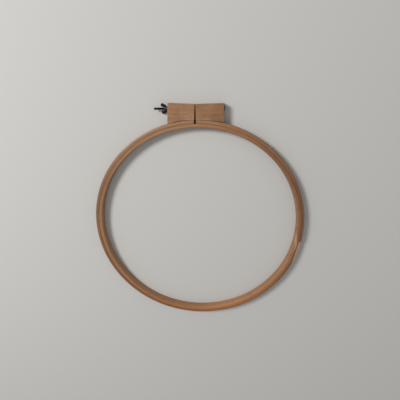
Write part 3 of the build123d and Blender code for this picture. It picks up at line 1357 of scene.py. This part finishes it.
@dataclass
class CarriageBolt(Piece):
    """The bolt through both blocks: a domed head, a square neck, a plain shank and a right-hand thread.

    The widths of half the thread's crest and of its flank are shares of its pitch.
    """

    node: str = field(init=False, default="carriage_bolt")

    head_height: float = 2.6
    head_rim: float = 0.7
    dome_rows: int = 12
    neck_half: float = 2.425
    neck_depth: float = 2.6
    pitch: float = 25.4 / 24
    thread_length: float = 38.0
    thread_depth: float = 0.55
    crest_half: float = 0.07
    flank: float = 0.31
    tip_chamfer: float = 0.7
    tip_slope: float = 1.15
    shank_rows: int = 24
    rows_per_turn: int = 9
    columns: int = 64
    rim_wear: float = 0.8
    crest_wear: float = 0.5

    def _head(self, seat_x: float) -> tuple[Array, Array]:
        """The dome and the underside of the head, from its top to the neck.

        Args:
            seat_x: the side place of its seat.

        Returns:
            The side place and the radius of each row.
        """
        reach, rim, rise = self.sizes.head_radius, self.head_rim, self.head_height - self.head_rim
        dome_radius = (reach**2 + rise**2) / (2 * rise)
        angle = np.linspace(0.04, asin((reach - 0.12) / dome_radius), self.dome_rows)
        dome_x = self.head_height - dome_radius * (1 - np.cos(angle))
        rim_x = [rim + 0.02, rim - 0.1, 0.3, 0.12, 0.0, 0.0, 0.0]
        rim_radius = [reach - 0.03, reach, reach, reach - 0.03, reach - 0.15, reach - 0.6, 3.6]
        return seat_x + np.concatenate([dome_x, rim_x]), np.concatenate([dome_radius * np.sin(angle), rim_radius])

    def _thread(self, x: Array, turn: Array, start: float, tip: float) -> Array:
        """The radius of the threaded end.

        The thread's phase is x / pitch - t / 2π, so it climbs towards +X as it turns from Y to Z, right-handed. Its
        section is a trapezium that rises and falls over three tenths of a turn, and it fades in at its start.

        Args:
            x: the side place of each row.
            turn: the angle of each column.
            start: where the thread begins.
            tip: the bolt's end.

        Returns:
            The radius of each point.
        """
        phase = (x / self.pitch - turn / TURN) % 1.0
        groove = np.clip((np.abs(phase - 0.5) - self.crest_half) / self.flank, 0, 1)
        fade = smooth_step(start - x, 0, 1.5 * self.pitch)
        radius = self.sizes.bolt_radius - 0.02 - self.thread_depth * groove * fade
        return np.minimum(radius, self.sizes.bolt_radius - self.tip_chamfer + (x - tip) * self.tip_slope)

    def skin(self) -> Skin:
        """Turns the bolt about its axis, with each point's radius from its row and its angle.

        Returns:
            The bolt's skin.
        """
        sizes, seat_x = self.sizes, self.sizes.seat_x(Side.RIGHT)
        tip = sizes.seat_x(Side.LEFT) - sizes.bolt_projection
        start = tip + self.thread_length
        turn = full_turn(self.columns)[None, :]
        head_x, head_radius = self._head(seat_x)
        neck_x = seat_x - np.array([0.0, 0.1, 0.5, self.neck_depth - 0.3, self.neck_depth - 0.05])
        square = np.minimum(square_radius(self.neck_half, turn), self.neck_half * 1.3)
        neck = square * np.array([[1.03], [1.0], [1.0], [1.0], [0.98]])
        shank_x = np.linspace(seat_x - self.neck_depth - 0.2, start + 0.3, self.shank_rows)
        shank = np.full(self.shank_rows, sizes.bolt_radius - 0.03)
        thread_x = np.linspace(start, tip, round(self.thread_length / self.pitch * self.rows_per_turn))
        thread = self._thread(thread_x[:, None], turn, start, tip)
        cap = np.array([0.9, 0.6, 0.3])

        x = np.concatenate([head_x, neck_x, shank_x, thread_x, 0 * cap + tip])[:, None]
        plain = np.ones_like(turn)
        parts = [head_radius[:, None] * plain, neck, shank[:, None] * plain, thread, cap[:, None] * thread[-1:]]
        radius = np.concatenate(parts)
        edge = np.zeros_like(radius)
        edge[self.dome_rows - 2: self.dome_rows + 3] = self.rim_wear
        first = len(head_x) + len(neck_x) + len(shank_x)
        crest = smooth_step(thread, sizes.bolt_radius - 0.2, sizes.bolt_radius - 0.03)
        edge[first: first + len(thread_x)] = self.crest_wear * crest
        return Skin(sizes.round_bolt(x, radius, turn), masks={Mask.EDGE: edge})


@dataclass
class FlatWasher(Piece):
    """The punched washer under the wing nut, whose punch drew in the edges away from the block."""

    node: str = field(init=False, default="flat_washer")
    body: ClassVar[Body] = Body.WASHER

    bore: float = 2.6
    punch_round: float = 0.3
    burr_round: float = 0.1
    columns: int = 72

    def skin(self) -> Skin:
        """Turns the washer's rounded section about the bolt.

        Returns:
            The washer's skin.
        """
        seat, high = self.sizes.seat_x(Side.LEFT), self.sizes.washer_radius
        punch, burr, thick = self.punch_round, self.burr_round, np.array([0.2, 0.8])
        flat = side_shares(high - self.bore - punch - burr, 0.7, 0.1)
        outline = rounded_outline(
            (seat - self.sizes.washer_thickness, self.bore), (seat, high), (punch, burr, burr, punch),
            (thick, flat, thick, flat),
        )
        turn = full_turn(self.columns)[:, None]
        points = self.sizes.round_bolt(*outline.points.T, turn)
        return Skin(points, masks={Mask.EDGE: outline.edge + 0 * turn}, rows_close=True)


@dataclass
class WingNut(Piece):
    """The cast wing nut: a tapering hub and two thin wings that end in round lobes.

    The wings begin at the root inside the hub, reach half the span from the bolt and the height from the seat, and
    are turned out of the hoop's own plane. Halfway, each of their edges passes the point that its shares give, of
    the half span and of the height. A voxel grid joins hub and wings, and its joints are smoothed.

    Attributes:
        thickness_along: shares of the way out along a wing, and the share of the thickness that it has there.
        leave: the direction of a wing's edges at the root.
        flatness: the power that a section's cosine and sine are raised to.
    """

    node: str = field(init=False, default="wing_nut")
    body: ClassVar[Body] = Body.NUT

    bore: float = 2.5
    base_radius: float = 4.4
    top_radius: float = 3.6
    hub_height: float = 5.6
    base_rim: float = 1.1
    hub_round: float = 0.45
    half_span: float = 12.0
    height: float = 13.3
    root: float = 2.9
    lobe_radius: float = 3.8
    thickness: float = 3.1
    thickness_along: tuple[Pair, ...] = ((0, 1.1), (0.3, 0.92), (0.7, 0.95), (1, 1.0))
    turn: float = radians(30.0)
    under_shares: Pair = (0.69, 0.24)
    upper_shares: Pair = (0.29, 0.68)
    leave: Pair = (1.0, 0.05)
    lobe_start: float = radians(-53.0)
    flatness: float = 0.6
    curve_rows: int = 40
    lobe_rows: int = 16
    wing_columns: int = 40
    hub_columns: int = 96
    voxel: float = 0.17
    smoothing: int = 6

    def _in_place(self, across: Array, up: Array, out: Array) -> Array:
        """The points at given places across the wings, up from the seat and out of the wings' plane.

        Args:
            across: the distance from the bolt along the wings.
            up: the distance from the seat.
            out: the distance from the wings' middle plane.

        Returns:
            The points in the hoop's own frame.
        """
        seat = self.sizes.seat_x(Side.LEFT) - self.sizes.washer_thickness
        y = self.sizes.bolt_y + across * cos(self.turn) - out * sin(self.turn)
        return np.stack([seat - up + 0 * y, y, across * sin(self.turn) + out * cos(self.turn)], -1)

    def _hub(self) -> Skin:
        """Turns the hub's section about the bolt.

        Returns:
            The hub's skin.
        """
        end, inside, outside = np.array([0.5]), np.linspace(0.05, 0.95, 6), np.linspace(0.05, 0.95, 8)
        corners = (self.bore, 0), (1 + self.bore, self.hub_height)
        radius, up = rounded_outline(*corners, (self.hub_round,) * 4, (end, outside, end, inside)).points.T
        taper = np.clip((up - self.base_rim) / (self.hub_height - self.base_rim), 0, 1)
        wall = self.base_radius + (self.top_radius - self.base_radius) * taper - self.bore
        radius = self.bore + (radius - self.bore) * wall
        angle = full_turn(self.hub_columns)[:, None]
        return Skin(self._in_place(radius * np.cos(angle), up, radius * np.sin(angle)), rows_close=True)

    @staticmethod
    def _bend(points: tuple[Array, Array, Array], leave: Array, arrive: Array, share: Array) -> Array:
        """A smooth curve through three points, made of two Hermite cubics that share the middle's direction.

        Args:
            points: the first point, the point that it passes halfway, and the last.
            leave: the direction at the first point.
            arrive: the direction at the last point.
            share: how far along the curve each wanted point is.

        Returns:
            The points, one for each share.
        """
        start, middle, end = points
        through = (end - start) / 2
        halves = []
        for a, b, at_a, at_b, low in ((start, middle, leave, through, 0.0), (middle, end, through, arrive, 0.5)):
            t = np.clip((share - low) * 2, 0, 1)[:, None]
            from_a, to_b = (at / np.linalg.norm(at) * np.linalg.norm(b - a) for at in (at_a, at_b))
            near = (2 * t**3 - 3 * t**2 + 1) * a + (t**3 - 2 * t**2 + t) * from_a
            halves.append(near + (3 * t**2 - 2 * t**3) * b + (t**3 - t**2) * to_b)
        return np.where((share < 0.5)[:, None], *halves)

    def _on_lobe(self, angle: Array | float) -> Array:
        """The point of the lobe at each angle about its middle."""
        middle = np.array([self.half_span, self.height]) - self.lobe_radius
        return middle + self.lobe_radius * np.stack([np.cos(angle), np.sin(angle)], -1)

    def _edge(self, start: float, shares: Pair, join: float, onward: Array) -> Array:
        """One edge of a wing: a smooth curve from inside the hub to the lobe, and a quarter turn round the lobe.

        Args:
            start: how high it begins.
            shares: where its middle lies, of the half span and of the height.
            join: the lobe's angle where the curve meets it.
            onward: the shares of the quarter turn where it has points, below 0 if it runs clockwise.

        Returns:
            The points of the edge.
        """
        through = np.array([self.root, start]), np.array([self.half_span, self.height]) * shares, self._on_lobe(join)
        arrive = np.sign(onward[0]) * np.array([-sin(join), cos(join)])
        curve = self._bend(through, np.array(self.leave), arrive, np.linspace(0, 1, self.curve_rows))
        return np.concatenate([curve, self._on_lobe(join + pi / 2 * onward)])

    def _wing(self, sign: int) -> Skin:
        """One wing: rounded sections carried from inside the hub out to the tip of the lobe.

        The under and the upper edge each follow a smooth curve and then half of the lobe's circle, at the same pace.
        A section lies between them: its points are their mean plus half their difference times c, and half the
        thickness times s, with c and s the flattened cosine and sine of its own angle.

        Args:
            sign: 1 for the first wing, -1 for the other.

        Returns:
            The wing's skin.
        """
        round_off = np.sin(np.linspace(0, pi / 2, self.lobe_rows))[1:-1]
        under = self._edge(self.base_rim + 0.1, self.under_shares, self.lobe_start, round_off)
        upper = self._edge(self.hub_height - 0.5, self.upper_shares, self.lobe_start + pi, -round_off)
        half = np.concatenate([np.ones(self.curve_rows), np.sqrt(1 - round_off**4)]) * self.thickness / 2
        half = half * np.interp(np.arange(len(half)) / len(half), *np.transpose(self.thickness_along))
        angle = full_turn(self.wing_columns)[None, :]
        round_parts = np.cos(angle), np.sin(angle)
        flat_cos, flat_sin = (np.sign(part) * np.abs(part) ** self.flatness for part in round_parts)
        flat = (under + upper)[:, None] / 2 + (upper - under)[:, None] / 2 * flat_cos[..., None]
        return Skin(self._in_place(sign * flat[..., 0], flat[..., 1], half[:, None] * flat_sin))

    def mesh(self) -> Mesh:
        """Joins hub and wings into one cast form, with its edges' wear.

        Returns:
            The nut's mesh.
        """
        skins = ((self._hub(), "hub"), (self._wing(1), "wing"), (self._wing(-1), "wing"))
        parts = [add_object(name, skin.mesh(name)) for skin, name in skins]
        body = parts[0]
        with bpy.context.temp_override(active_object=body, selected_editable_objects=parts):
            bpy.ops.object.join()
        remesh = body.modifiers.new("one_casting", "REMESH")
        remesh.mode, remesh.voxel_size = "VOXEL", self.voxel * MM
        soften = body.modifiers.new("soften", "SMOOTH")
        soften.factor, soften.iterations = 0.5, self.smoothing
        mesh = bpy.data.meshes.new_from_object(body.evaluated_get(bpy.context.evaluated_depsgraph_get()))
        mesh.name = self.name
        bpy.data.objects.remove(body)
        mesh.shade_smooth()
        set_mask(mesh, Mask.EDGE, convexity(mesh, self.voxel * MM))
        return mesh


def convexity(mesh: Mesh, spacing: float) -> Array:
    """How much each vertex stands out of its neighbours: its distance over their mean, along its normal.

    Args:
        mesh: the mesh.
        spacing: how far apart its vertices are.

    Returns:
        A number from 0 on flat and hollow places to 1 on tight edges.
    """
    count = len(mesh.vertices)
    points, normals = np.empty(count * 3), np.empty(count * 3)
    ends = np.empty(len(mesh.edges) * 2, np.int32)
    mesh.vertices.foreach_get("co", points)
    mesh.vertices.foreach_get("normal", normals)
    mesh.edges.foreach_get("vertices", ends)
    points, normals, ends = points.reshape(-1, 3), normals.reshape(-1, 3), ends.reshape(-1, 2)
    total, number = np.zeros((count, 3)), np.zeros(count)
    for here, there in ((0, 1), (1, 0)):
        np.add.at(total, ends[:, here], points[ends[:, there]])
        np.add.at(number, ends[:, here], 1)
    outward = np.einsum("ij,ij->i", points - total / number[:, None], normals)
    edge = smooth_step(outward / spacing, 0.02, 0.12)
    for _ in range(WEAR_PASSES):
        spread = np.zeros(count)
        np.add.at(spread, ends[:, 0], edge[ends[:, 1]])
        np.add.at(spread, ends[:, 1], edge[ends[:, 0]])
        edge = 0.5 * edge + 0.5 * spread / number
    return np.clip(edge, 0, 1)


@dataclass
class Studio:
    """The pale floor, the soft light and the camera, whose turn is in Euler angles."""

    floor_z: float = -8.75
    floor_half: float = 6000.0
    floor_points: int = 9
    floor_colour: Colour = (0.51, 0.50, 0.48)
    key_place: Colour = (-1750.0, 1250.0, 1850.0)
    key_size: float = 900.0
    key_power: float = 64.0
    fill_strength: float = 0.455
    fill_colour: Colour = (1.0, 0.99, 0.97)
    camera_place: Colour = (42.41, 289.57, 627.56)
    camera_turn: Colour = (radians(-19.885), radians(3.236), radians(-0.6755))
    lens: float = 27.0
    sensor: float = 36.0

    def _floor(self) -> None:
        """Lays the floor as a wide sheet."""
        count = self.floor_points
        step = np.linspace(-self.floor_half, self.floor_half, count) * MM
        x, y = np.meshgrid(step, step)
        mesh = bpy.data.meshes.new("floor")
        points = np.stack([x, y, np.full_like(x, self.floor_z * MM)], -1).reshape(-1, 3)
        number = np.arange(count**2).reshape(count, count)
        quads = np.stack([number[:-1, :-1], number[:-1, 1:], number[1:, 1:], number[1:, :-1]], -1)
        mesh.from_pydata(points.tolist(), [], quads.reshape(-1, 4).tolist())
        floor = add_object("floor", mesh)
        material, nodes = new_material("pale_floor")
        nodes.surface({"Base Color": (*self.floor_colour, 1.0), "Roughness": 0.9})
        mesh.materials.append(material)

    def _light(self) -> None:
        """Hangs the key lamp and lights the world evenly, with a pale background in sight and in reflections."""
        lamp = bpy.data.lights.new("key", "AREA")
        lamp.energy, lamp.size, lamp.shape = self.key_power, self.key_size * MM, "DISK"
        key = add_object("key", lamp)
        key.location = Vector(self.key_place) * MM
        key.rotation_mode = "QUATERNION"
        key.rotation_quaternion = (-key.location).to_track_quat("-Z", "Y")

        world = bpy.data.worlds.new("studio")
        bpy.context.scene.world = world
        world.use_nodes = True
        world.node_tree.nodes.clear()
        nodes = NodeTree(world.node_tree)
        fill = nodes.add("ShaderNodeBackground", {"Color": (*self.fill_colour, 1.0), "Strength": self.fill_strength})
        pale = nodes.add("ShaderNodeBackground", {"Color": (*self.floor_colour, 1.0), "Strength": 1.0})
        path = nodes.add("ShaderNodeLightPath").outputs
        seen = nodes.math("MAXIMUM", path["Is Camera Ray"], path["Is Glossy Ray"])
        seen = nodes.math("MAXIMUM", seen, path["Is Transmission Ray"])
        mix = nodes.add("ShaderNodeMixShader", {0: seen, 1: fill.outputs[0], 2: pale.outputs[0]})
        nodes.add("ShaderNodeOutputWorld", {"Surface": mix.outputs[0]})

    def _camera(self) -> None:
        """Sets the camera."""
        data = bpy.data.cameras.new("camera")
        data.lens, data.sensor_width, data.clip_start = self.lens, self.sensor, 0.01
        camera = add_object("camera", data)
        camera.location = Vector(self.camera_place) * MM
        camera.rotation_euler = self.camera_turn
        bpy.context.scene.camera = camera

    def build(self) -> None:
        """Sets up floor, light, camera and the plain view of colours."""
        self._floor()
        self._light()
        self._camera()
        bpy.context.scene.view_settings.view_transform = "Standard"
        log.info("studio: floor, lamp, world and camera")


def main() -> None:
    """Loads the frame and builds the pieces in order."""
    logging.basicConfig(level=logging.INFO, format="%(name)s %(message)s")
    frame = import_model()
    effects = Effects(grain_group(), wear_group(), mottle_group())
    sizes = HoopSizes()

    inner_wood = WoodFinish("inner_ring_wood", (0.0, -195.0, 60.0), (0.345, 0.182, 0.090), (0.185, 0.083, 0.034))
    outer_wood = WoodFinish(
        "outer_ring_wood", (700.0, -190.0, -75.0), (0.272, 0.155, 0.084), (0.130, 0.062, 0.028),
        raw=(0.47, 0.32, 0.21), warm=(1.14, 0.76, 0.42),
    )
    left_wood = WoodFinish(
        "left_block_wood", (0.0, 18.0, 44.0), (0.330, 0.172, 0.086), (0.186, 0.085, 0.036),
        fleck_cover=0.42, patch_share=1.6,
    )
    right_wood = WoodFinish(
        "right_block_wood", (400.0, 30.0, -52.0), (0.298, 0.154, 0.074), (0.165, 0.075, 0.031),
        fleck_cover=0.42, patch_share=1.3,
    )
    InnerRing(sizes).build(inner_wood.material(effects))
    OuterRing(sizes).build(outer_wood.material(effects))
    knots = ((6.3, 6.4, 2.6), (37.5, 27.0, 2.4))
    left_block = ClampBlock(sizes, Side.LEFT, open_joint=(31.0, 23.0), knots=knots, dark_end=0.0)
    left_block.build(left_wood.material(effects))
    ClampBlock(sizes, Side.RIGHT).build(right_wood.material(effects))
    black = BlackFinish().material(effects)
    CarriageBolt(sizes).build(black)
    FlatWasher(sizes).build(black)
    WingNut(sizes).build(BlackFinish("black_lacquer", gloss=0.4).material(effects))
    nails = frame["nodes"]["block_nails"]
    nails.data.materials.clear()
    nails.data.materials.append(NailFinish().material(effects))
    log.info("block_nails: %d faces, kept from the frame", len(nails.data.polygons))
    Studio().build()


if __name__ == "__main__":
    main()
